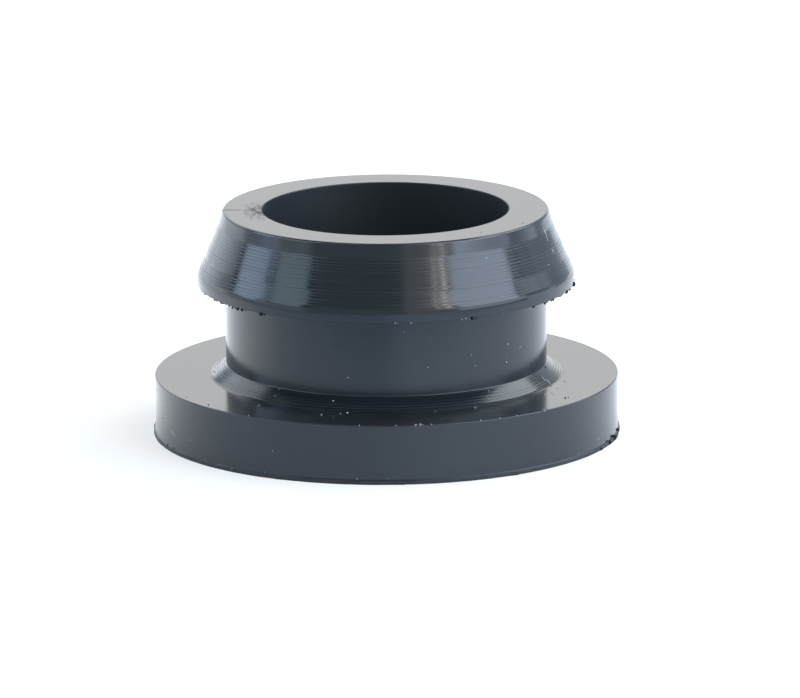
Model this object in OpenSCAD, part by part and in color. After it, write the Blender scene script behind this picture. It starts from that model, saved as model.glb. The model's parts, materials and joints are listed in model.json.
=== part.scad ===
// Push-in rubber gasket: one moulding that seals a tube where it passes through a thin wall.
// The flange seats on the near face of the wall and the neck fills the hole in it.
// The barbed head squeezes through the hole and springs out behind, and the bore grips the tube.
// Millimetres, +Z up. The origin is at the middle of the flange's flat seat.

/* [Bore] */
// Diameter of the bore that grips the tube
bore_d = 19; // [16:0.1:21]
// Rounding of the bore's edge, at the seat and at the top
bore_edge = 0.15; // [0.05:0.05:0.4]

/* [Flange] */
// Diameter of the flange at the top of its side
flange_d = 35.8; // [33:0.1:42]
// Thickness of the flange
flange_t = 4.6; // [3:0.1:7]
// Rounding of the flange's top edge
flange_edge = 0.1; // [0.05:0.05:0.5]
// How far the side is drawn in at its middle
waist = 0.1; // [0.05:0.05:0.3]
// How far the mould's parting lip stands out from the side
lip_out = 0.1; // [0.05:0.05:0.3]
// Height of the parting lip above the seat
lip_h = 0.3; // [0.1:0.05:0.6]

/* [Neck] */
// Diameter of the neck, and of the hole that it fills
neck_d = 24.8; // [24:0.1:26.5]
// Height of the groove between flange and head, which is the thickest wall that it takes
groove_h = 7.2; // [4:0.1:12]
// Width of the sealing ring, from the neck to its foot
ring_w = 1.15; // [0.6:0.05:2]
// Height of the sealing ring where it meets the neck
ring_h = 0.95; // [0.2:0.05:1.4]

/* [Head] */
// Diameter of the head over its barb
barb_d = 29.1; // [28:0.1:32]
// Height of the upright wall of the barb
barb_h = 0.8; // [0.6:0.05:1.5]
// Rounding under the barb
barb_edge = 0.15; // [0.05:0.05:0.3]
// Rounding of the barb's shoulder, where the lead-in taper starts
shoulder = 2; // [0.4:0.1:3]
// Height of the head above the groove
head_h = 5.7; // [4:0.1:9]
// Diameter of the head's flat top
top_d = 25.1; // [23.5:0.1:27]
// Height of the steeper collar under the top edge
collar_h = 1.05; // [0.5:0.05:1.5]
// How far the collar's foot stands out beyond the top
collar_out = 0.32; // [0.1:0.02:0.4]
// Where the lead-in taper is creased, as a share of its length from the shoulder
crease_at = 0.35; // [0.2:0.05:0.6]
// How far the crease is drawn in from the straight taper
hollow = 0.12; // [0.02:0.02:0.2]
// Rounding of the crease
crease_edge = 1; // [0.5:0.1:3]
// Rounding of the head's top edge
top_edge = 0.2; // [0.1:0.05:0.4]

/* [Hidden] */

rubber = [0.12, 0.13, 0.145];

// Segments round the whole moulding, in a rounded edge, and in a hollow that spans a side
$fn = 128;
edge_steps = 4;
span_steps = 8;

// The most of a side that the rounding at one of its ends may take up
edge_room = 0.48;

// Radius of a hollow's corner: more than its sides have room for, so that it spans them
span_r = 1000;

bore_r = bore_d / 2;
flange_r = flange_d / 2;
neck_r = neck_d / 2;
barb_r = barb_d / 2;
top_r = top_d / 2;

groove_top = flange_t + groove_h;
total_h = groove_top + head_h;

// The side runs from the parting lip to the top edge, and its middle is drawn in
side_foot = [flange_r, lip_h + lip_out];
side_top = [flange_r, flange_t];
side_mid = (side_foot + side_top) / 2 - [waist, 0];

// The taper runs from the shoulder to the collar's foot. It is flatter below its crease than above.
taper_foot = [barb_r, groove_top + barb_h];
taper_top = [top_r + collar_out, total_h - collar_h];
crease = taper_foot + crease_at * (taper_top - taper_foot) - [hollow, 0];

// The half section, anticlockwise from the bore's foot, as [point, rounding, steps]
section = [
    [[bore_r, 0], bore_edge, edge_steps],
    [[flange_r + lip_out, 0], 0, 0],
    [[flange_r + lip_out, lip_h], 0, 0],
    [side_foot, 0, 0],
    [side_mid, span_r, span_steps],
    [side_top, flange_edge, edge_steps],
    [[neck_r + ring_w, flange_t], 0, 0],
    [[neck_r, flange_t + ring_h], 0, 0],
    [[neck_r, groove_top], 0, 0],
    [[barb_r, groove_top], barb_edge, edge_steps],
    [taper_foot, shoulder, edge_steps],
    [crease, crease_edge, edge_steps],
    [taper_top, 0, 0],
    [[top_r, total_h], top_edge, edge_steps],
    [[bore_r, total_h], bore_edge, edge_steps],
];

function unit(v) = v / norm(v);

// The angle a brought between -180 and 180 degrees
function half_turn(a) = a - 360 * round(a / 360);

// Points of the rounded corner q between its neighbours p and n. The radius is r,
// or less where a side is too short for it.
function rounded(p, q, n, r, steps) =
    let (
        to_p = unit(p - q),
        to_n = unit(n - q),
        half = acos(to_p * to_n) / 2,
        reach = min(r / tan(half), edge_room * min(norm(p - q), norm(n - q))),
        radius = reach * tan(half),
        centre = q + unit(to_p + to_n) * radius / sin(half),
        first = q + to_p * reach - centre,
        last = q + to_n * reach - centre,
        start = atan2(first.y, first.x),
        turn = half_turn(atan2(last.y, last.x) - start)
    )
    [for (i = [0 : steps])
        let (a = start + turn * i / steps)
        centre + radius * [cos(a), sin(a)]];

// The outline of the section, each corner sharp or rounded as it states
function outline(s) =
    let (count = len(s))
    [for (i = [0 : count - 1])
        let (
            before = s[(i + count - 1) % count][0],
            here = s[i],
            after = s[(i + 1) % count][0]
        )
        each here[1] == 0
            ? [here[0]]
            : rounded(before, here[0], after, here[1], here[2])];

// The whole gasket: the section turned once round the bore's axis
module gasket() {
    color(rubber)
    rotate_extrude()
    polygon(outline(section));
}

gasket();
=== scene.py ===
"""A push-in rubber gasket on a white table: one black moulding with its flash, turning lines and dust."""
import json
import math

import bpy
from mathutils import Matrix, Vector


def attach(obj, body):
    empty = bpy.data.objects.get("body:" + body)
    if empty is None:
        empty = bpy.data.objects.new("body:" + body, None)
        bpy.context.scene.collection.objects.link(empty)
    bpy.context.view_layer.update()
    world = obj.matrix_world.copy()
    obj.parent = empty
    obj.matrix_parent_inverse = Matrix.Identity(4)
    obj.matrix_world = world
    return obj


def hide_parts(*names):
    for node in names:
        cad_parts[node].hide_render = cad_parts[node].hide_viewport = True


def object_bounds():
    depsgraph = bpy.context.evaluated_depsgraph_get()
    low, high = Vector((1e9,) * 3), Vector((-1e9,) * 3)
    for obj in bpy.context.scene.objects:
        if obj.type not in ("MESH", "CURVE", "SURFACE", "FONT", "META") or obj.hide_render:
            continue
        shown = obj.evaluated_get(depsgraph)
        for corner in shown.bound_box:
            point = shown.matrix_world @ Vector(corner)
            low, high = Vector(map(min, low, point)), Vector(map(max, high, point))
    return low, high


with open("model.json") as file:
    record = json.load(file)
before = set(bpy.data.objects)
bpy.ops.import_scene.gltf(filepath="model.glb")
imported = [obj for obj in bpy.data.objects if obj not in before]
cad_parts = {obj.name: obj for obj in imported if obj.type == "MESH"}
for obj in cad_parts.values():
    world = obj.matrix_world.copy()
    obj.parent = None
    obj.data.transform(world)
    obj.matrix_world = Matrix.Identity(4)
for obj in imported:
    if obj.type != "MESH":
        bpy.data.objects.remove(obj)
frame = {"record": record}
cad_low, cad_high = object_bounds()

MM = 0.001

# ---------------------------------------------------------------- sizes, in millimetres
# The mounts and the solid's box give the main sizes, so the dressed part follows the frame.
mounts = {mount["name"]: mount for mount in frame["record"]["mounts"]}
bore_r = mounts["bore"]["dims"]["r_mm"]
neck_r = mounts["panel_groove"]["dims"]["r_mm"]
groove_h = mounts["panel_groove"]["dims"]["length_mm"]
groove_mid = mounts["panel_groove"]["pos_m"][2] / MM
flange_t = groove_mid - groove_h / 2
groove_top = groove_mid + groove_h / 2
total_h = cad_high.z / MM
lip_r = cad_high.x / MM

lip_out = 0.1          # the parting lip round the foot stands this far out of the side
lip_h = 0.3
lip_slope = 0.02       # the lip's upper side rises by this much to the side
flange_r = lip_r - lip_out
flange_edge = 0.08     # rounding of the flange's top edge
waist = 0.1            # the side is drawn in this far at its middle
ring_w = 1.15          # the conical sealing ring at the foot of the neck
ring_h = 0.95
ring_edge = 0.35       # rounding where the ring's foot meets the flange
barb_r = 14.55
barb_h = 0.8
shoulder = 2.0         # rounding where the barb's wall meets the lead-in taper
top_r = 12.55
collar_h = 1.05        # steeper collar under the top edge
collar_out = 0.32
crease_at = 0.35       # the taper is creased at this share of its length from the shoulder,
hollow = 0.05          # this far in from its straight line
crease_edge = 1.0
top_edge = 0.2
bore_edge = 0.15
bore_top_edge = 0.05   # the top is sawn after moulding, so its edge of the bore is sharper
crisp = 0.04           # rounding of the corners that a mould leaves sharp
edge_room = 0.48       # the most of a side that the rounding at one of its ends may take up
edge_guard = 0.06      # a point this close to each end of a side keeps its shading flat
barb_skin = 14.5       # radius at which the crumbs and nicks sit on the barb's foot
flange_skin = 17.88    # and at which they sit on the flange's top edge
smudge_at = (-9.8, -0.7, total_h)


# ---------------------------------------------------------------- small tools
def linear(hex_colour):
    """An sRGB hex colour as the linear RGBA that Blender's sockets take."""
    channels = [int(hex_colour[i:i + 2], 16) / 255 for i in (1, 3, 5)]
    return (*[c / 12.92 if c <= 0.04045 else ((c + 0.055) / 1.055) ** 2.4 for c in channels], 1.0)


def add(tree, kind, inputs=None, **settings):
    """Adds a node with its settings. Each input gets a value, a socket, or a node's first output."""
    made = tree.nodes.new(kind)
    for name, value in settings.items():
        setattr(made, name, value)
    for name, value in (inputs or {}).items():
        if isinstance(value, bpy.types.Node):
            value = value.outputs[0]
        if isinstance(value, bpy.types.NodeSocket):
            tree.links.new(value, made.inputs[name])
        else:
            made.inputs[name].default_value = value
    return made


def link_object(name, data):
    made = bpy.data.objects.new(name, data)
    bpy.context.scene.collection.objects.link(made)
    return made


# ---------------------------------------------------------------- the section of the moulding
def unit(v):
    return v / v.length


def round_corner(before, corner, after, radius, steps):
    """Points of a corner rounded by an arc, or by as much of one as its sides have room for."""
    to_before, to_after = unit(before - corner), unit(after - corner)
    half = to_before.angle(to_after) / 2
    room = edge_room * min((before - corner).length, (after - corner).length)
    reach = min(radius / math.tan(half), room)
    radius = reach * math.tan(half)
    centre = corner + unit(to_before + to_after) * radius / math.sin(half)
    first, last = corner + to_before * reach - centre, corner + to_after * reach - centre
    start = math.atan2(first.y, first.x)
    turn = math.atan2(last.y, last.x) - start
    turn -= math.tau * round(turn / math.tau)
    angles = [start + turn * i / steps for i in range(steps + 1)]
    return [centre + radius * Vector((math.cos(a), math.sin(a))) for a in angles]


def stretch(start, end, step):
    """Points between two ends: one close to each, which keeps the shading flat, and some between."""
    length = (end - start).length
    near = min(edge_guard, length / 4)
    along = unit(end - start)
    first, last = start + along * near, end - along * near
    count = max(1, round((last - first).length / step))
    return [first.lerp(last, i / count) for i in range(count + 1)]


side_foot = Vector((flange_r, lip_h + lip_slope))
side_top = Vector((flange_r, flange_t))
side_mid = (side_foot + side_top) / 2 - Vector((waist, 0))
taper_foot = Vector((barb_r, groove_top + barb_h))
taper_top = Vector((top_r + collar_out, total_h - collar_h))
crease = taper_foot.lerp(taper_top, crease_at) - Vector((hollow, 0))
SPAN = 1000            # a corner radius larger than its sides have room for, so that it spans them

# Each corner: where it is, its rounding and arc steps, the spacing of points after it, its marks.
# The marks say how strongly the finish after the corner is turned, cut, flash or parting lip.
corners = [
    ((bore_r, 0), bore_edge, 3, 1.6, {}),
    ((flange_r + lip_out, 0), crisp, 2, 0.3, {"lip": 1}),
    ((flange_r + lip_out, lip_h), crisp, 2, 0.3, {"lip": 1}),
    (side_foot, crisp, 2, 0.5, {}),
    (side_mid, SPAN, 8, 0.5, {}),
    (side_top, flange_edge, 5, 0.6, {"cut": 1}),
    ((neck_r + ring_w, flange_t), ring_edge, 3, 0.25, {"turned": 1}),
    ((neck_r, flange_t + ring_h), crisp, 2, 0.8, {}),
    ((neck_r, groove_top), crisp, 2, 0.6, {}),
    ((barb_r, groove_top), crisp, 2, 0.3, {}),
    (taper_foot, shoulder, 10, 0.12, {"turned": 1}),
    (crease, crease_edge, 6, 0.2, {"turned": 1}),
    (taper_top, crisp, 2, 0.2, {"turned": 0.4}),
    ((top_r, total_h), top_edge, 5, 0.5, {"cut": 1, "sawn": 1}),
    ((bore_r, total_h), bore_top_edge, 2, 1.6, {"bore": 1}),
]
MARKS = ("turned", "cut", "sawn", "lip", "bore", "tip")


def section_points(corners):
    """The closed outline of the half section, with the marks that each point carries."""
    points = []
    count = len(corners)
    places = [Vector(corner[0]) for corner in corners]
    arcs = [
        round_corner(places[i - 1], places[i], places[(i + 1) % count], corners[i][1], corners[i][2])
        for i in range(count)
    ]
    for i, (_, _, _, step, marks) in enumerate(corners):
        for point in arcs[i]:
            points.append((point, marks))
        for point in stretch(arcs[i][-1], arcs[(i + 1) % count][0], step):
            points.append((point, marks))
    return points[::-1]


def section_mesh(points):
    """The outline as a closed loop of edges, drawn in the XY plane, that the sweep can carry round."""
    mesh = bpy.data.meshes.new("section")
    count = len(points)
    mesh.from_pydata(
        [((p.x - neck_r) * MM, -p.y * MM, 0) for p, _ in points],
        [(i, (i + 1) % count) for i in range(count)],
        [],
    )
    for mark in MARKS:
        values = mesh.attributes.new(mark, "FLOAT", "POINT").data
        for i, (_, marks) in enumerate(points):
            values[i].value = marks.get(mark, 0)
    return mesh


# ---------------------------------------------------------------- geometry trees
def new_tree(name, sizes, geometry_in=True):
    """An empty geometry tree with its named inputs: (name, socket kind, value)."""
    tree = bpy.data.node_groups.new(name, "GeometryNodeTree")
    if geometry_in:
        tree.interface.new_socket("Geometry", in_out="INPUT", socket_type="NodeSocketGeometry")
    tree.interface.new_socket("Geometry", in_out="OUTPUT", socket_type="NodeSocketGeometry")
    for label, kind, value in sizes:
        socket = tree.interface.new_socket(label, in_out="INPUT", socket_type="NodeSocket" + kind)
        if value is not None:
            socket.default_value = value
    return tree, tree.nodes.new("NodeGroupInput"), tree.nodes.new("NodeGroupOutput")


def finish_tree(tree, group_out, geometry, material):
    """Ends a tree: instances made real, and the material set."""
    real = add(tree, "GeometryNodeRealizeInstances", {"Geometry": geometry})
    painted = add(tree, "GeometryNodeSetMaterial", {"Geometry": real.outputs[0], "Material": material})
    tree.links.new(painted.outputs[0], group_out.inputs[0])


def grow(name, mesh, tree, **values):
    """Runs a tree on a mesh with these inputs, and returns the result as a plain mesh object."""
    host = link_object(name + "_host", mesh)
    modifier = host.modifiers.new("nodes", "NODES")
    modifier.node_group = tree
    sockets = {item.name: item.identifier for item in tree.interface.items_tree if item.in_out == "INPUT"}
    for label, value in values.items():
        modifier[sockets[label.replace("_", " ")]] = value
    depsgraph = bpy.context.evaluated_depsgraph_get()
    depsgraph.update()
    made = bpy.data.meshes.new_from_object(host.evaluated_get(depsgraph), depsgraph=depsgraph)
    made.name = name
    bpy.data.objects.remove(host)
    return link_object(name, made)


def revolve_tree():
    """Carries the section round the bore's axis, then lets the lip and the whole ring wander."""
    tree, given, out = new_tree("moulded_ring", [
        ("Sweep radius", "Float", neck_r * MM),
        ("Segments", "Int", 600),
        ("Flash grain", "Float", 0.5 * MM),
        ("Lip wander", "Float", 0.06 * MM),
        ("Warp", "Float", 0.03 * MM),
        ("Seed", "Float", 3.0),
        ("Material", "Material", None),
    ])
    g = given.outputs
    profile = add(tree, "GeometryNodeMeshToCurve", {"Mesh": g["Geometry"]})
    path = add(
        tree, "GeometryNodeCurvePrimitiveCircle", {"Resolution": g["Segments"], "Radius": g["Sweep radius"]})
    swept = add(tree, "GeometryNodeCurveToMesh", {"Curve": path, "Profile Curve": profile})

    # The direction out from the axis, and a point that moves one unit for each flash grain round it
    place = add(tree, "GeometryNodeInputPosition")
    flat = add(tree, "ShaderNodeVectorMath", {0: place, 1: (1, 1, 0)}, operation="MULTIPLY")
    outward = add(tree, "ShaderNodeVectorMath", {0: flat}, operation="NORMALIZE")
    turns = add(tree, "ShaderNodeMath", {0: g["Sweep radius"], 1: g["Flash grain"]}, operation="DIVIDE")
    around = add(tree, "ShaderNodeVectorMath", {0: outward, "Scale": turns}, operation="SCALE")

    # The parting lip wanders in and out
    ragged = add(
        tree, "ShaderNodeTexNoise", {"Vector": around, "W": g["Seed"], "Scale": 0.6, "Detail": 2},
        noise_dimensions="4D")
    swing = add(tree, "ShaderNodeMapRange", {"Value": ragged, "To Min": -1, "To Max": 1})
    lip = add(tree, "GeometryNodeInputNamedAttribute", {"Name": "lip"}, data_type="FLOAT")
    edge_swing = add(tree, "ShaderNodeMath", {0: swing, 1: lip}, operation="MULTIPLY")
    edge_push = add(tree, "ShaderNodeMath", {0: edge_swing, 1: g["Lip wander"]}, operation="MULTIPLY")

    # Rubber never cools quite true: a slow warp that grows with height
    waves = add(tree, "ShaderNodeTexNoise", {"Vector": place, "Scale": 60, "Detail": 1})
    swell = add(tree, "ShaderNodeMapRange", {"Value": waves, "To Min": -1, "To Max": 1})
    split = add(tree, "ShaderNodeSeparateXYZ", {0: place})
    rise = add(tree, "ShaderNodeMapRange", {"Value": split.outputs[2], "From Max": total_h * MM})
    risen = add(tree, "ShaderNodeMath", {0: swell, 1: rise}, operation="MULTIPLY")
    warp = add(tree, "ShaderNodeMath", {0: risen, 1: g["Warp"]}, operation="MULTIPLY")

    push = add(tree, "ShaderNodeMath", {0: edge_push, 1: warp}, operation="ADD")
    sideways = add(tree, "ShaderNodeVectorMath", {0: outward, "Scale": push}, operation="SCALE")
    moved = add(tree, "GeometryNodeSetPosition", {"Geometry": swept, "Offset": sideways})
    finish_tree(tree, out, moved.outputs[0], g["Material"])
    return tree


def flash_tree():
    """Carries a thin fin round the axis just inside the skin, and lets its tip out in ragged teeth."""
    tree, given, out = new_tree("ragged_flash", [
        ("Sweep radius", "Float", neck_r * MM),
        ("Segments", "Int", 1800),
        ("Reach out", "Float", 0.1 * MM),
        ("Reach up", "Float", 0.0),
        ("Tooth", "Float", 0.3 * MM),
        ("Bare", "Float", 0.5),
        ("Clean side", "Float", 2.0),
        ("Seed", "Float", 1.0),
        ("Material", "Material", None),
    ])
    g = given.outputs
    profile = add(tree, "GeometryNodeMeshToCurve", {"Mesh": g["Geometry"]})
    path = add(
        tree, "GeometryNodeCurvePrimitiveCircle", {"Resolution": g["Segments"], "Radius": g["Sweep radius"]})
    swept = add(tree, "GeometryNodeCurveToMesh", {"Curve": path, "Profile Curve": profile})
    place = add(tree, "GeometryNodeInputPosition")
    flat = add(tree, "ShaderNodeVectorMath", {0: place, 1: (1, 1, 0)}, operation="MULTIPLY")
    outward = add(tree, "ShaderNodeVectorMath", {0: flat}, operation="NORMALIZE")
    turns = add(tree, "ShaderNodeMath", {0: g["Sweep radius"], 1: g["Tooth"]}, operation="DIVIDE")
    around = add(tree, "ShaderNodeVectorMath", {0: outward, "Scale": turns}, operation="SCALE")

    # Teeth, and the longer stretches of the edge where the mould closed well and left none
    teeth = add(
        tree, "ShaderNodeTexNoise",
        {"Vector": around, "W": g["Seed"], "Scale": 0.7, "Detail": 3, "Roughness": 0.7},
        noise_dimensions="4D")
    tooth = add(tree, "ShaderNodeMapRange", {"Value": teeth, "From Min": 0.42, "From Max": 0.66})
    patches = add(
        tree, "ShaderNodeTexNoise", {"Vector": around, "W": g["Seed"], "Scale": 0.09, "Detail": 2},
        noise_dimensions="4D")
    closed = add(tree, "ShaderNodeMath", {0: g["Bare"], 1: 0.1}, operation="ADD")
    open_share = add(
        tree, "ShaderNodeMapRange", {"Value": patches, "From Min": g["Bare"], "From Max": closed})
    # The clean side is the cosine of the angle from -Y within which the edge was trimmed
    to_front = add(tree, "ShaderNodeVectorMath", {0: outward, 1: (0, -1, 0)}, operation="DOT_PRODUCT")
    trimmed_to = add(tree, "ShaderNodeMath", {0: g["Clean side"], 1: -0.12}, operation="ADD")
    untrimmed = add(
        tree, "ShaderNodeMapRange",
        {"Value": to_front.outputs["Value"], "From Min": g["Clean side"], "From Max": trimmed_to})
    tip = add(tree, "GeometryNodeInputNamedAttribute", {"Name": "tip"}, data_type="FLOAT")
    share = add(tree, "ShaderNodeMath", {0: tooth, 1: open_share}, operation="MULTIPLY")
    left_on = add(tree, "ShaderNodeMath", {0: share, 1: untrimmed}, operation="MULTIPLY")
    let_out = add(tree, "ShaderNodeMath", {0: left_on, 1: tip}, operation="MULTIPLY")

    reach = add(tree, "ShaderNodeVectorMath", {0: outward, "Scale": g["Reach out"]}, operation="SCALE")
    upward = add(tree, "ShaderNodeCombineXYZ", {2: g["Reach up"]})
    full = add(tree, "ShaderNodeVectorMath", {0: reach, 1: upward}, operation="ADD")
    step = add(tree, "ShaderNodeVectorMath", {0: full, "Scale": let_out}, operation="SCALE")
    moved = add(tree, "GeometryNodeSetPosition", {"Geometry": swept, "Offset": step})
    finish_tree(tree, out, moved.outputs[0], g["Material"])
    return tree


def speck_tree():
    """Sets a small uneven lump on each point of the mesh, as large as the point's size attribute."""
    tree, given, out = new_tree("specks", [
        ("Seed", "Int", 5),
        ("Flattest", "Float", 0.5),
        ("Longest", "Float", 1.3),
        ("Material", "Material", None),
    ])
    g = given.outputs
    lump = add(tree, "GeometryNodeMeshIcoSphere", {"Radius": 0.5, "Subdivisions": 2})
    turn = add(
        tree, "FunctionNodeRandomValue", {0: (0, 0, 0), 1: (math.tau,) * 3, "Seed": g["Seed"]},
        data_type="FLOAT_VECTOR")
    low = add(tree, "ShaderNodeCombineXYZ", {0: g["Flattest"], 1: g["Flattest"], 2: g["Flattest"]})
    high = add(tree, "ShaderNodeCombineXYZ", {0: g["Longest"], 1: g["Longest"], 2: g["Longest"]})
    shape = add(
        tree, "FunctionNodeRandomValue", {0: low, 1: high, "Seed": g["Seed"]}, data_type="FLOAT_VECTOR")
    size = add(tree, "GeometryNodeInputNamedAttribute", {"Name": "size"}, data_type="FLOAT")
    scale = add(tree, "ShaderNodeVectorMath", {0: shape, "Scale": size}, operation="SCALE")
    placed = add(
        tree, "GeometryNodeInstanceOnPoints",
        {"Points": g["Geometry"], "Instance": lump, "Rotation": turn, "Scale": scale})
    finish_tree(tree, out, placed.outputs[0], g["Material"])
    return tree


def stroke_tree():
    """Draws each chain of edges as a thin raised thread that wavers a little and tapers to its ends."""
    tree, given, out = new_tree("strokes", [
        ("Thickness", "Float", 0.05 * MM),
        ("Waver", "Float", 0.03 * MM),
        ("Step", "Float", 0.06 * MM),
        ("Material", "Material", None),
    ])
    g = given.outputs
    chain = add(tree, "GeometryNodeMeshToCurve", {"Mesh": g["Geometry"]})
    fine = add(tree, "GeometryNodeResampleCurve", {"Curve": chain, "Length": g["Step"]}, mode="LENGTH")
    place = add(tree, "GeometryNodeInputPosition")
    noise = add(tree, "ShaderNodeTexNoise", {"Vector": place, "Scale": 4000, "Detail": 2})
    aside = add(
        tree, "ShaderNodeVectorMath", {0: noise.outputs["Color"], 1: (0.5, 0.5, 0.5)}, operation="SUBTRACT")
    waver = add(tree, "ShaderNodeVectorMath", {0: aside, "Scale": g["Waver"]}, operation="SCALE")
    wavering = add(tree, "GeometryNodeSetPosition", {"Geometry": fine, "Offset": waver})
    share = add(tree, "GeometryNodeSplineParameter")
    end = add(tree, "ShaderNodeMath", {0: share, 1: 0.5}, operation="SUBTRACT")
    apart = add(tree, "ShaderNodeMath", {0: end}, operation="ABSOLUTE")
    taper = add(
        tree, "ShaderNodeMapRange", {"Value": apart, "From Min": 0.5, "From Max": 0.25, "To Min": 0.3})
    radius = add(tree, "ShaderNodeMath", {0: g["Thickness"], 1: 0.5}, operation="MULTIPLY")
    round_section = add(tree, "GeometryNodeCurvePrimitiveCircle", {"Resolution": 6, "Radius": radius})
    thread = add(
        tree, "GeometryNodeCurveToMesh",
        {"Curve": wavering, "Profile Curve": round_section, "Scale": taper, "Fill Caps": True})
    finish_tree(tree, out, thread.outputs[0], g["Material"])
    return tree


# ---------------------------------------------------------------- marks that lie on the moulding
outline = section_points(corners)


def radius_at(height):
    """How far out the moulding's outer side is at this height, in millimetres."""
    pairs = [
        (a, b) for (a, _), (b, _) in zip(outline, outline[1:])
        if min(a.y, b.y) <= height <= max(a.y, b.y)
    ]
    low, high = max((pair for pair in pairs if pair[0].y != pair[1].y), key=lambda pair: pair[0].x)
    return low.lerp(high, (height - low.y) / (high.y - low.y)).x


def on_body(azimuth, radius, height):
    """A point of the skin in metres: degrees from the camera's side towards +X, then millimetres."""
    if radius is None:
        radius = radius_at(height)
    angle = math.radians(azimuth)
    return Vector((radius * math.sin(angle), -radius * math.cos(angle), height)) * MM


def speck_mesh(specks):
    """One point for each speck: (azimuth, radius or None for the outer side, height, size)."""
    mesh = bpy.data.meshes.new("speck_points")
    mesh.from_pydata([on_body(*speck[:3]) for speck in specks], [], [])
    sizes = mesh.attributes.new("size", "FLOAT", "POINT").data
    for i, speck in enumerate(specks):
        sizes[i].value = speck[3] * MM
    return mesh


def stroke_mesh(strokes):
    """A chain of edges for each stroke, through its places."""
    points, edges = [], []
    for stroke in strokes:
        edges += [(len(points) + i, len(points) + i + 1) for i in range(len(stroke) - 1)]
        points += [on_body(*place) for place in stroke]
    mesh = bpy.data.meshes.new("stroke_chains")
    mesh.from_pydata(points, edges, [])
    return mesh


# Fins of flash: three points of a thin wedge inside the skin, the middle one its tip, then how far
# the tip may come out and up, the tooth length, the bare share, the clean side and the seed
FLASH = {
    "head_flash": (
        ((barb_r - 0.17, groove_top + 0.09), (barb_r - 0.06, groove_top + 0.03),
         (barb_r - 0.03, groove_top + 0.1)),
        0.03, -0.21, 0.35, 0.33, 0.66, 4.0),
    "lip_flash": (
        ((lip_r - 0.1, lip_h - 0.12), (lip_r - 0.03, lip_h - 0.06), (lip_r - 0.1, lip_h - 0.03)),
        0.1, 0.03, 0.35, 0.42, 2.0, 8.0),
    "foot_flash": (
        ((lip_r - 0.1, 0.02), (lip_r - 0.03, 0.05), (lip_r - 0.1, 0.1)),
        0.12, -0.04, 0.4, 0.42, 2.0, 21.0),
    "rim_flash": (
        ((bore_r + 0.12, total_h - 0.03), (bore_r + 0.09, total_h - 0.08), (bore_r + 0.03, total_h - 0.13)),
        -0.06, 0.08, 0.3, 0.45, 2.0, 12.0),
}

# Crumbs of torn flash: on the head's lower edge, and along the foot
CRUMBS = [
    (-55.5, barb_skin, groove_top - 0.04, 0.16), (-54, 14.45, groove_top - 0.06, 0.24),
    (-52.8, 14.45, groove_top - 0.1, 0.2), (-51.2, barb_skin, groove_top - 0.08, 0.22),
    (-49.4, 14.45, groove_top - 0.06, 0.18), (-47.6, barb_skin, groove_top - 0.05, 0.16),
    (-41, barb_skin, groove_top - 0.05, 0.28), (-39.5, barb_skin, groove_top - 0.03, 0.14),
    (27, barb_skin, groove_top - 0.02, 0.32), (28.2, barb_skin, groove_top - 0.05, 0.18),
    (51, barb_skin, groove_top - 0.04, 0.2), (62, barb_skin, groove_top - 0.02, 0.16),
    (73, barb_skin, groove_top, 0.24), (76, barb_skin, groove_top, 0.2), (84, barb_skin, groove_top, 0.3),
    (88, barb_skin, groove_top + 0.1, 0.18), (58.5, None, 0.1, 0.16), (66, None, 0.12, 0.2),
    (72, None, 0.2, 0.24), (77, None, 0.25, 0.26), (84, None, 0.3, 0.2),
]
# Pale nicks where the flash or the skin was torn and the rubber shows grey
NICKS = [
    (2.8, barb_skin, groove_top, 0.2), (3.5, barb_skin, groove_top - 0.05, 0.14),
    (7.5, barb_skin, groove_top, 0.2), (8.3, barb_skin, groove_top - 0.04, 0.14),
    (23.5, barb_skin, groove_top, 0.18), (24.7, barb_skin, groove_top, 0.2),
    (26, barb_skin, groove_top - 0.05, 0.16), (38, barb_skin, groove_top, 0.14),
    (46, barb_skin, groove_top + 0.4, 0.15), (7.1, flange_skin, flange_t, 0.2), (8.3, 17.8, flange_t, 0.22),
    (8.9, 17.85, flange_t, 0.14), (42.2, 17.86, flange_t, 0.24), (43, flange_skin, flange_t, 0.12),
    (23.6, flange_skin, flange_t, 0.14), (28.8, flange_skin, flange_t, 0.16),
    (33.6, flange_skin, flange_t, 0.14), (11, flange_skin, flange_t, 0.12), (79.1, None, 5.43, 0.22),
    (-7.3, None, 0.42, 0.2), (54.7, None, 0.5, 0.16), (0.2, None, 0.5, 0.12), (-41, None, 0.3, 0.16),
    (-31.3, None, 0.4, 0.12), (-70.5, None, 0.32, 0.2), (-66, None, 0.34, 0.15), (16.4, None, 0.5, 0.14),
    (-6.6, flange_skin, flange_t, 0.12), (2.3, flange_skin, flange_t, 0.12),
]
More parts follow.
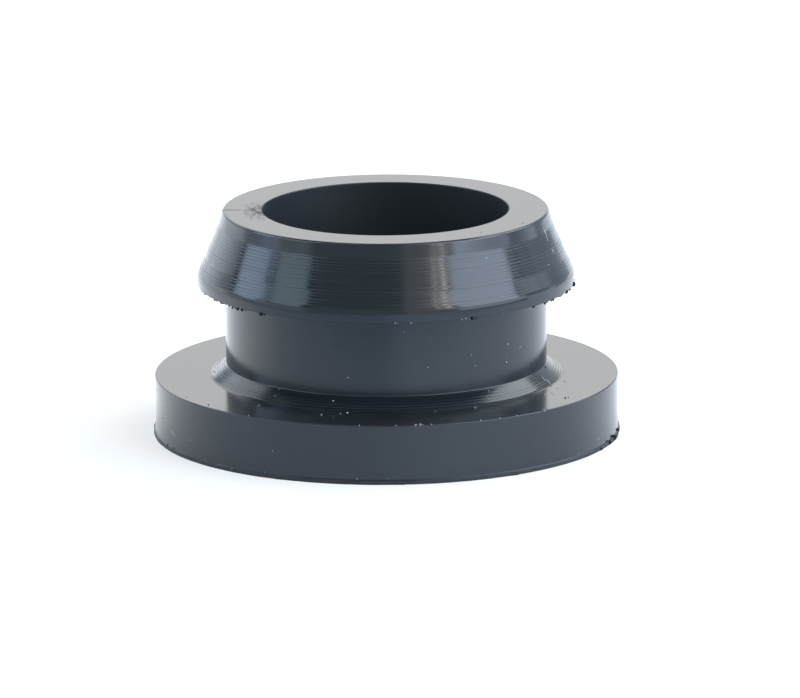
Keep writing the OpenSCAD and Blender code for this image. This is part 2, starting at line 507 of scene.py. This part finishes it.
# Dust and lint: pale grains
DUST = [
    (28.9, 14.03, flange_t, 0.13), (75.4, 14.15, flange_t, 0.18), (74, 14.4, flange_t, 0.1),
    (33.2, None, 7.43, 0.1), (38.1, None, 5.37, 0.11), (48.7, None, 8.63, 0.09), (55.8, None, 8.11, 0.11),
    (47.7, None, 7.81, 0.08), (47.9, None, 7.25, 0.09), (-18.4, None, 5.19, 0.12),
    (-19.1, 15.11, flange_t, 0.15), (-14.1, 14.39, flange_t, 0.1), (-12.3, 13.97, flange_t, 0.12),
    (-75.5, None, 2.08, 0.16), (-71.5, None, 3.24, 0.1), (-41.1, 14.87, flange_t, 0.12),
    (-41.6, 14.6, flange_t, 0.07), (-56, None, 8.61, 0.09), (-40.8, None, 5.05, 0.09),
    (-41.1, None, 5.45, 0.08), (-13.6, None, 6.99, 0.08), (-36.1, 17.8, flange_t, 0.09),
    (15.6, 13.87, flange_t, 0.08), (65.3, None, 0.94, 0.08), (14.9, None, 7.75, 0.07),
    (31.5, None, 8.35, 0.07), (-57.2, None, 1.58, 0.09), (-29.1, None, 2.14, 0.07),
    (64.8, None, 14.28, 0.11), (6.3, None, 10.58, 0.08), (35.9, None, 15.93, 0.1),
    (-31.8, None, 16.12, 0.08), (-30.2, 11.07, total_h, 0.07), (27, 10.2, total_h, 0.09),
    (52, 11.6, total_h, 0.08),
]
# Grains of black rubber that stick to the pale-looking faces
SPECKS = [
    (-87.2, None, 4.79, 0.14), (-51.6, 17.36, flange_t, 0.16), (-17.9, None, 9.56, 0.16),
    (56.1, 16.48, flange_t, 0.16), (57, 16.6, flange_t, 0.1), (-62, 17.3, flange_t, 0.1),
    (40, 11.3, total_h, 0.1), (62, 11.9, total_h, 0.09), (-47, 17.5, flange_t, 0.08),
]
# Scratches: chains of (azimuth, radius or None for the outer side, height)
SCRATCHES = [
    [(69.5, None, 5.25), (68.4, None, 5.05), (69.7, None, 4.87), (69.1, None, 4.66), (66.5, 13.91, flange_t)],
    [(71.5, None, 16.86), (71.9, None, 16.4), (71.4, None, 15.78)],
    [(71.9, None, 15.23), (72.2, None, 15.05), (71.9, None, 14.86)],
    [(-72, None, 3.16), (-70.8, None, 3.04)],
    [(-67.8, None, 1.68), (-67, None, 1.55), (-65.3, None, 1.34)],
    [(57.7, 14.33, flange_t), (56.2, 14.66, flange_t)],
    [(61.1, 14.36, flange_t), (59.9, 14.58, flange_t), (57.2, 15.3, flange_t)],
    [(65.6, 14.4, flange_t), (64.9, 14.62, flange_t)],
]


# ---------------------------------------------------------------- materials
def new_material(name):
    material = bpy.data.materials.new(name)
    material.use_nodes = True
    tree = material.node_tree
    tree.nodes.clear()
    return material, tree


def moulded_rubber():
    """Black nitrile rubber as it left a turned steel mould: satin, with a faint silicone skin on it."""
    material, tree = new_material("moulded_nitrile_rubber")
    place = add(tree, "ShaderNodeTexCoord").outputs["Object"]
    mm = add(tree, "ShaderNodeVectorMath", {0: place, "Scale": 1 / MM}, operation="SCALE")
    flat = add(tree, "ShaderNodeVectorMath", {0: mm, 1: (1, 1, 0)}, operation="MULTIPLY")
    radius = add(tree, "ShaderNodeVectorMath", {0: flat}, operation="LENGTH").outputs["Value"]
    split = add(tree, "ShaderNodeSeparateXYZ", {0: mm})
    turned = add(tree, "ShaderNodeAttribute", attribute_name="turned").outputs["Fac"]
    cut = add(tree, "ShaderNodeAttribute", attribute_name="cut").outputs["Fac"]
    sawn = add(tree, "ShaderNodeAttribute", attribute_name="sawn").outputs["Fac"]
    bore = add(tree, "ShaderNodeAttribute", attribute_name="bore").outputs["Fac"]
    lip = add(tree, "ShaderNodeAttribute", attribute_name="lip").outputs["Fac"]

    # Distance along the section, which rises up every outer face: the turning lines follow it.
    # They are some 0.1 mm apart on such a mould, and drawn about 0.25 mm apart so that they show.
    along = add(tree, "ShaderNodeMath", {0: split.outputs[2], 1: radius}, operation="SUBTRACT")
    drift = add(tree, "ShaderNodeVectorMath", {0: flat, "Scale": 0.03}, operation="SCALE")
    drifted = add(tree, "ShaderNodeSeparateXYZ", {0: drift})
    lathe = add(tree, "ShaderNodeCombineXYZ", {0: drifted.outputs[0], 1: drifted.outputs[1], 2: along})
    feed = add(
        tree, "ShaderNodeTexWave",
        {"Vector": lathe, "Scale": 0.95, "Distortion": 3.5, "Detail": 2, "Detail Scale": 1.7},
        bands_direction="Z")
    depths = add(tree, "ShaderNodeTexNoise", {"Vector": lathe, "Scale": 1.6, "Detail": 1})
    deep = add(
        tree, "ShaderNodeMapRange", {"Value": depths, "From Min": 0.35, "From Max": 0.65, "To Min": 0.45})
    lines = add(tree, "ShaderNodeMath", {0: feed.outputs["Fac"], 1: deep}, operation="MULTIPLY")

    grain = add(tree, "ShaderNodeTexNoise", {"Vector": mm, "Scale": 1 / 0.14, "Detail": 2})
    grain_bump = add(tree, "ShaderNodeBump", {"Height": grain, "Strength": 0.1, "Distance": 0.02 * MM})
    lines_bump = add(
        tree, "ShaderNodeBump",
        {"Height": lines, "Strength": turned, "Distance": 0.001 * MM, "Normal": grain_bump})

    # The skin's gloss: cloudy where moulded, lined where the mould was turned, dull in the bore and lip
    cloud = add(tree, "ShaderNodeTexNoise", {"Vector": mm, "Scale": 0.35, "Detail": 3})
    satin = add(tree, "ShaderNodeMapRange", {"Value": cloud, "To Min": 0.15, "To Max": 0.2})
    lined = add(
        tree, "ShaderNodeMapRange",
        {"Value": lines, "To Min": 0.09, "To Max": 0.34})
    smooth = add(tree, "ShaderNodeMix", {0: turned, 2: satin.outputs[0], 3: lined})
    level = add(tree, "ShaderNodeMix", {0: cut, 2: smooth, 3: 0.15})
    dull = add(tree, "ShaderNodeMix", {0: sawn, 2: level, 3: 0.19})
    inside = add(tree, "ShaderNodeMix", {0: bore, 2: dull, 3: 0.44})
    parted = add(tree, "ShaderNodeMix", {0: lip, 2: inside, 3: 0.55})

    # A smudge on the top face beside the bore, and the short cut of a knife across its left side
    from_smudge = add(tree, "ShaderNodeVectorMath", {0: mm, 1: smudge_at}, operation="SUBTRACT")
    shape = add(tree, "ShaderNodeVectorMath", {0: from_smudge, 1: (0.8, 0.28, 1)}, operation="MULTIPLY")
    apart = add(tree, "ShaderNodeVectorMath", {0: shape}, operation="LENGTH").outputs["Value"]
    near = add(tree, "ShaderNodeMapRange", {"Value": apart, "From Min": 1.1, "From Max": 0.3})
    soot = add(tree, "ShaderNodeTexNoise", {"Vector": shape, "Scale": 3, "Detail": 4, "Roughness": 0.65})
    patchy = add(tree, "ShaderNodeMapRange", {"Value": soot, "From Min": 0.38, "From Max": 0.6})
    smudge = add(tree, "ShaderNodeMath", {0: near, 1: patchy}, operation="MULTIPLY")
    from_cut = add(tree, "ShaderNodeMath", {0: split.outputs[1], 1: 0.2}, operation="ADD")
    aside = add(tree, "ShaderNodeMath", {0: from_cut}, operation="ABSOLUTE")
    narrow = add(tree, "ShaderNodeMapRange", {"Value": aside, "From Min": 0.2, "From Max": 0.02})
    outer = add(
        tree, "ShaderNodeMapRange", {"Value": split.outputs[0], "From Min": -10.9, "From Max": -11.3})
    across = add(tree, "ShaderNodeMath", {0: narrow, 1: outer}, operation="MULTIPLY")
    knife = add(tree, "ShaderNodeMath", {0: across, 1: sawn}, operation="MULTIPLY")
    marked = add(tree, "ShaderNodeMath", {0: smudge, 1: knife}, operation="MAXIMUM")
    marred = add(tree, "ShaderNodeMath", {0: marked, 1: 0.35}, operation="MULTIPLY")
    rough = add(tree, "ShaderNodeMath", {0: parted, 1: marred}, operation="ADD")

    black = add(tree, "ShaderNodeMix", {0: cut, 6: linear("#1a1f23"), 7: linear("#1e2023")}, data_type="RGBA")
    shader = add(
        tree, "ShaderNodeBsdfPrincipled",
        {"Base Color": black.outputs[2], "Roughness": rough, "IOR": 1.5, "Normal": lines_bump})
    add(tree, "ShaderNodeOutputMaterial", {0: shader})
    return material


def raw_rubber():
    """The same rubber where it squeezed out of the mould and broke off: dead matt, and black a shade darker
    than the moulded skin, partly the torn rubber's own black and partly painted shade.
    """
    material, tree = new_material("raw_nitrile_rubber")
    place = add(tree, "ShaderNodeTexCoord").outputs["Object"]
    crumble = add(tree, "ShaderNodeTexNoise", {"Vector": place, "Scale": 1 / (0.08 * MM), "Detail": 2})
    # Painted shade in part: a base darker than the moulded skin's
    black = add(
        tree, "ShaderNodeMix", {0: crumble, 6: linear("#07090b"), 7: linear("#1a1e22")}, data_type="RGBA")
    bump = add(tree, "ShaderNodeBump", {"Height": crumble, "Strength": 0.5, "Distance": 0.02 * MM})
    shader = add(
        tree, "ShaderNodeBsdfPrincipled",
        {"Base Color": black.outputs[2], "Roughness": 0.6, "IOR": 1.3, "Normal": bump})
    add(tree, "ShaderNodeOutputMaterial", {0: shader})
    return material


def torn_rubber(name, dark, light):
    """The same rubber where it was torn or scratched: the filler shows, matt and grey."""
    material, tree = new_material(name)
    place = add(tree, "ShaderNodeTexCoord").outputs["Object"]
    fibres = add(tree, "ShaderNodeTexNoise", {"Vector": place, "Scale": 1 / (0.12 * MM), "Detail": 3})
    grey = add(
        tree, "ShaderNodeMix", {0: fibres, 6: linear(dark), 7: linear(light)}, data_type="RGBA")
    bump = add(tree, "ShaderNodeBump", {"Height": fibres, "Strength": 0.4, "Distance": 0.02 * MM})
    shader = add(
        tree, "ShaderNodeBsdfPrincipled",
        {"Base Color": grey.outputs[2], "Roughness": 0.6, "IOR": 1.5, "Normal": bump})
    add(tree, "ShaderNodeOutputMaterial", {0: shader})
    return material


def house_dust():
    """Pale mineral dust and lint, which scatters light and has no gloss."""
    material, tree = new_material("house_dust")
    place = add(tree, "ShaderNodeTexCoord").outputs["Object"]
    grains = add(tree, "ShaderNodeTexNoise", {"Vector": place, "Scale": 1 / (0.3 * MM), "Detail": 2})
    tint = add(
        tree, "ShaderNodeMix", {0: grains, 6: linear("#a5a294"), 7: linear("#d4d8d8")}, data_type="RGBA")
    shader = add(
        tree, "ShaderNodeBsdfPrincipled", {"Base Color": tint.outputs[2], "Roughness": 0.9, "IOR": 1.5})
    add(tree, "ShaderNodeOutputMaterial", {0: shader})
    return material


def white_table():
    """White laminate: matt, with a glow that only the camera sees, which lifts it past white, and a painted
    glow that only the rubber's gloss sees, which paints reflections into the rubber; for all rays but the
    camera's its front is painted in shade.
    """
    material, tree = new_material("white_laminate")
    place = add(tree, "ShaderNodeSeparateXYZ", {0: add(tree, "ShaderNodeTexCoord").outputs["Object"]})
    # Painted reflection: a glow that differs by place, warm behind and bluish to the front right, which only
    # glossy rays see on the floor
    to_back = add(
        tree, "ShaderNodeMapRange", {"Value": place.outputs[1], "From Min": -26 * MM, "From Max": 6 * MM})
    to_right = add(
        tree, "ShaderNodeMapRange", {"Value": place.outputs[0], "From Min": -3 * MM, "From Max": 12 * MM})
    front = add(
        tree, "ShaderNodeMix", {0: to_right, 6: (0.0, 0.04, 0.06, 1), 7: (0.35, 0.45, 0.55, 1)},
        data_type="RGBA", name="front_glow")
    behind = add(
        tree, "ShaderNodeMix", {0: to_right, 6: (0.68, 0.63, 0.58, 1), 7: (0.38, 0.36, 0.36, 1)},
        data_type="RGBA", name="behind_glow")
    glow = add(
        tree, "ShaderNodeMix", {0: to_back, 6: front.outputs[2], 7: behind.outputs[2]}, data_type="RGBA",
        name="back_glow")
    # Painted shade: the floor's colour darkens from 32 mm to 66 mm in front of the axis, for all rays but the
    # camera's
    painted_front_shade = add(
        tree, "ShaderNodeMapRange", {"Value": place.outputs[1], "From Min": -32 * MM, "From Max": -66 * MM})
    floor_with_painted_front_shade = add(
        tree, "ShaderNodeMix", {0: painted_front_shade, 6: linear("#e8eaec"), 7: linear("#b4c3cf")}, data_type="RGBA")
    matt = add(tree, "ShaderNodeBsdfDiffuse", {"Color": floor_with_painted_front_shade.outputs[2]})
    white = add(tree, "ShaderNodeBsdfDiffuse", {"Color": linear("#b6b3ae")})
    # A glow that only the camera sees, stronger towards the back, lifts the floor past white and keeps the
    # object's shadow faint
    lift = add(
        tree, "ShaderNodeMapRange",
        {
            "Value": place.outputs[1], "From Min": -30 * MM, "From Max": 30 * MM,
            "To Min": 0.43, "To Max": 0.68,
        })
    seen_lift = add(
        tree, "ShaderNodeEmission", {"Color": linear("#ffffff"), "Strength": lift}, name="camera_lift")
    # Painted reflection: the glow above, added to the floor for glossy rays only
    painted_reflection_glow = add(
        tree, "ShaderNodeEmission", {"Color": glow.outputs[2], "Strength": 1.0}, name="painted_reflection_glow")
    seen = add(tree, "ShaderNodeAddShader", {0: white, 1: seen_lift})
    mirrored = add(tree, "ShaderNodeAddShader", {0: matt, 1: painted_reflection_glow})
    rays = add(tree, "ShaderNodeLightPath")
    to_gloss = add(tree, "ShaderNodeMixShader", {0: rays.outputs["Is Glossy Ray"], 1: matt, 2: mirrored})
    to_camera = add(tree, "ShaderNodeMixShader", {0: rays.outputs["Is Camera Ray"], 1: to_gloss, 2: seen})
    add(tree, "ShaderNodeOutputMaterial", {0: to_camera})
    return material


# ---------------------------------------------------------------- stage
def make_table():
    reach = 4.0        # metres from the middle to each side
    mesh = bpy.data.meshes.new("table")
    mesh.from_pydata(
        [(-reach, -reach, 0), (reach, -reach, 0), (reach, reach, 0), (-reach, reach, 0)], [], [(0, 1, 2, 3)])
    mesh.materials.append(white_table())
    link_object("table", mesh)


# Window panes and softboxes, as the object sees them, in degrees: the azimuths of their two sides,
# from the camera's side towards +X, the elevations of their two edges, and their light.
PANES = {
    "left_window": (-110.5, -85.5, 13, 45, (2.8, 3.6, 4.8)),
    "left_blind": (-80, -53.5, 19, 50, (1.85, 2.4, 2.75)),
    "left_gap": (-85.5, -80, 12, 45, (1.1, 1.35, 1.9)),
    "strip_a": (32.8, 35, 17.5, 50, (5.6, 5.2, 4.8)),
    "strip_b": (39, 41.8, 17.5, 50, (9.8, 9.2, 8.6)),
    "right_window": (45, 93.5, 17.5, 50, (4.4, 5.1, 6.3)),
    "rear_window": (96, 141, 23, 56, (3.7, 4.1, 4.4)),
}

# Broad soft parts of the room, in the same degrees, with the softness of their edges
WALLS = {
    "right_sill": (45, 95, 4, 11.5, 3, (2.9, 3.2, 4.0)),
    "right_bar": (45, 95, 11.5, 14.5, 3, (1.5, 1.7, 2.1)),
    "right_sill_high": (45, 95, 14.5, 17, 3, (2.9, 3.2, 4.0)),
    "right_shelf": (95, 126, -10, 7, 4, (1.8, 2.15, 2.5)),
    "right_dark_a": (93.5, 104, 7, 20, 2, (0.6, 0.75, 0.95)),
    "right_dark_b": (104, 114, 7, 16, 2, (0.6, 0.75, 0.95)),
    "right_dark_c": (114, 126, 7, 12, 2, (0.6, 0.75, 0.95)),
    "right_haze_a": (93.5, 104, 20, 23, 2, (1.9, 2.2, 2.5)),
    "right_haze_b": (104, 114, 16, 23, 2, (1.9, 2.2, 2.5)),
    "right_haze_c": (114, 126, 12, 23, 2, (1.4, 1.6, 1.9)),
    "right_rear": (126, 160, -10, 21, 4, (0.62, 0.72, 0.86)),
    "right_rear_high": (141, 165, 20, 50, 6, (0.5, 0.53, 0.56)),
    "front_right": (13, 45, -10, 50, 5, (0.95, 0.95, 0.95)),
    "front_low": (-50, 15, -10, 17, 6, (0.43, 0.55, 0.62)),
    "front_mid": (-50, 15, 17, 28, 6, (0.45, 0.5, 0.56)),
    "front_high": (-50, 15, 28, 45, 6, (0.24, 0.28, 0.3)),
    "front_top": (-115, 130, 48, 65, 6, (0.2, 0.25, 0.3)),
    "left_low": (-85, -50, -10, 17, 6, (1.05, 1.2, 1.3)),
    "left_mid": (-115, -85, -10, 12, 4, (0.8, 0.95, 1.15)),
    "left_rear": (-165, -115, -10, 10.5, 5, (1.9, 2.1, 2.35)),
    "left_rear_near": (-133, -115, 10.5, 20, 4, (0.9, 1.0, 1.1)),
    "left_rear_mid": (-165, -133, 10.5, 20, 4, (0.5, 0.6, 0.7)),
    "left_rear_high": (-165, -128, 20, 46, 6, (1.85, 2.0, 2.25)),
    "back_low": (160, 195, -10, 15, 8, (1.6, 1.62, 1.64)),
    "back_mid": (165, 195, 15, 35, 8, (1.5, 1.52, 1.54)),
    "back_high": (130, 245, 50, 70, 8, (0.45, 0.45, 0.45)),
    "high_right": (20, 85, 50, 68, 6, (1.7, 1.9, 2.2)),
    "high_left": (-85, -20, 50, 68, 6, (0.9, 1.05, 1.2)),
    "overhead": (-180, 180, 70, 100, 8, (0.75, 0.75, 0.8)),
}


def make_pane(name, left, right, low, high, light):
    """A flat lamp one metre off that fills these degrees, and shines with this radiance."""
    away = 1.0
    azimuth, elevation = math.radians((left + right) / 2), math.radians((low + high) / 2)
    lamp = bpy.data.lights.new(name, "AREA")
    lamp.shape = "RECTANGLE"
    lamp.size = 2 * away * math.tan(math.radians((right - left) / 2)) * math.cos(elevation)
    lamp.size_y = 2 * away * math.tan(math.radians((high - low) / 2))
    lamp.energy = math.pi * lamp.size * lamp.size_y
    lamp.color = light
    made = link_object(name, lamp)
    outward = Vector((
        math.sin(azimuth) * math.cos(elevation), -math.cos(azimuth) * math.cos(elevation),
        math.sin(elevation)))
    turn = outward.to_track_quat("Z", "Y").to_matrix().to_4x4()
    made.matrix_world = Matrix.Translation(outward * away) @ turn
    made.visible_camera = False


def make_room():
    """The world: the room's broad soft parts, added up by direction. The camera sees plain white."""
    world = bpy.data.worlds.new("room")
    bpy.context.scene.world = world
    world.use_nodes = True
    tree = world.node_tree
    tree.nodes.clear()
    split = add(tree, "ShaderNodeSeparateXYZ", {0: add(tree, "ShaderNodeTexCoord").outputs["Generated"]})
    toward_camera = add(tree, "ShaderNodeMath", {0: split.outputs[1], 1: -1}, operation="MULTIPLY")
    azimuth = add(tree, "ShaderNodeMath", {0: split.outputs[0], 1: toward_camera}, operation="ARCTAN2")
    elevation = add(tree, "ShaderNodeMath", {0: split.outputs[2]}, operation="ARCSINE")
    total = None
    for name, (left, right, low, high, soft, light) in WALLS.items():
        offset = add(
            tree, "ShaderNodeMath", {0: azimuth, 1: math.radians((left + right) / 2)}, operation="SUBTRACT")
        wrapped = add(tree, "ShaderNodeMath", {0: offset, 1: math.pi, 2: -math.pi}, operation="WRAP")
        aside = add(tree, "ShaderNodeMath", {0: wrapped}, operation="ABSOLUTE")
        across = add(
            tree, "ShaderNodeMapRange",
            {
                "Value": aside, "From Min": math.radians((right - left) / 2 - soft / 2),
                "From Max": math.radians((right - left) / 2 + soft / 2), "To Min": 1, "To Max": 0,
            }, interpolation_type="SMOOTHSTEP")
        if right - left >= 360:
            across.inputs["To Max"].default_value = 1
        rise = add(
            tree, "ShaderNodeMath", {0: elevation, 1: math.radians((low + high) / 2)}, operation="SUBTRACT")
        apart = add(tree, "ShaderNodeMath", {0: rise}, operation="ABSOLUTE")
        upright = add(
            tree, "ShaderNodeMapRange",
            {
                "Value": apart, "From Min": math.radians((high - low) / 2 - soft / 2),
                "From Max": math.radians((high - low) / 2 + soft / 2), "To Min": 1, "To Max": 0,
            }, interpolation_type="SMOOTHSTEP")
        share = add(tree, "ShaderNodeMath", {0: across, 1: upright}, operation="MULTIPLY")
        part = add(tree, "ShaderNodeVectorMath", {0: light, "Scale": share}, operation="SCALE", name=name)
        total = add(tree, "ShaderNodeVectorMath", {0: total, 1: part}, operation="ADD") if total else part
    rays = add(tree, "ShaderNodeLightPath")
    seen = add(
        tree, "ShaderNodeMix",
        {0: rays.outputs["Is Camera Ray"], 4: total, 5: (1, 1, 1)}, data_type="VECTOR")
    sky = add(tree, "ShaderNodeBackground", {"Color": seen.outputs[1], "Strength": 1.0})
    add(tree, "ShaderNodeOutputWorld", {0: sky})


def make_camera():
    """A long lens 0.85 m off, 13 degrees above the table, a hair out of level."""
    distance, elevation, roll = 0.85, math.radians(13.17), -0.006
    aim = Vector((1.06, 0, 6.376)) * MM
    lens_in_widths = 11001 / 800
    data = bpy.data.cameras.new("camera")
    data.sensor_width = 36
    data.lens = lens_in_widths * data.sensor_width
    data.clip_start, data.clip_end = 0.05, 20
    made = link_object("camera", data)
    back = Vector((0, -math.cos(elevation), math.sin(elevation)))
    turn = (-back).to_track_quat("-Z", "Y").to_matrix().to_4x4() @ Matrix.Rotation(roll, 4, "Z")
    made.matrix_world = Matrix.Translation(aim + back * distance) @ turn
    bpy.context.scene.camera = made


# ---------------------------------------------------------------- build
bpy.context.scene.view_settings.view_transform = "Standard"
make_camera()
make_room()
make_table()
for name, pane in PANES.items():
    make_pane(name, *pane)

rubber, raw, dust = moulded_rubber(), raw_rubber(), house_dust()
torn = torn_rubber("torn_nitrile_rubber", "#3c4448", "#7e8688")
scratched = torn_rubber("scratched_nitrile_rubber", "#8a9092", "#dfe3e3")
section = section_mesh(outline)
gasket = grow("gasket_moulding", section, revolve_tree(), Material=rubber)
gasket.data.polygons.foreach_set("use_smooth", [True] * len(gasket.data.polygons))
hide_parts("gasket")
pieces = [gasket]

flash = flash_tree()
for name, (wedge, out_by, up_by, tooth, bare, clean, seed) in FLASH.items():
    fin = [(Vector(point), {"tip": i == 1}) for i, point in enumerate(wedge)]
    pieces.append(grow(
        name, section_mesh(fin[::-1]), flash, Reach_out=out_by * MM, Reach_up=up_by * MM, Tooth=tooth * MM,
        Bare=bare, Clean_side=clean, Seed=seed, Material=raw))

specks = speck_tree()
pieces += [
    grow("torn_crumbs", speck_mesh(CRUMBS), specks, Seed=5, Longest=1.6, Material=raw),
    grow("pale_nicks", speck_mesh(NICKS), specks, Seed=9, Material=torn),
    grow("settled_dust", speck_mesh(DUST), specks, Seed=14, Material=dust),
    grow("black_specks", speck_mesh(SPECKS), specks, Seed=22, Material=raw),
    grow("scratches", stroke_mesh(SCRATCHES), stroke_tree(), Material=scratched),
]
for piece in pieces:
    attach(piece, "root")
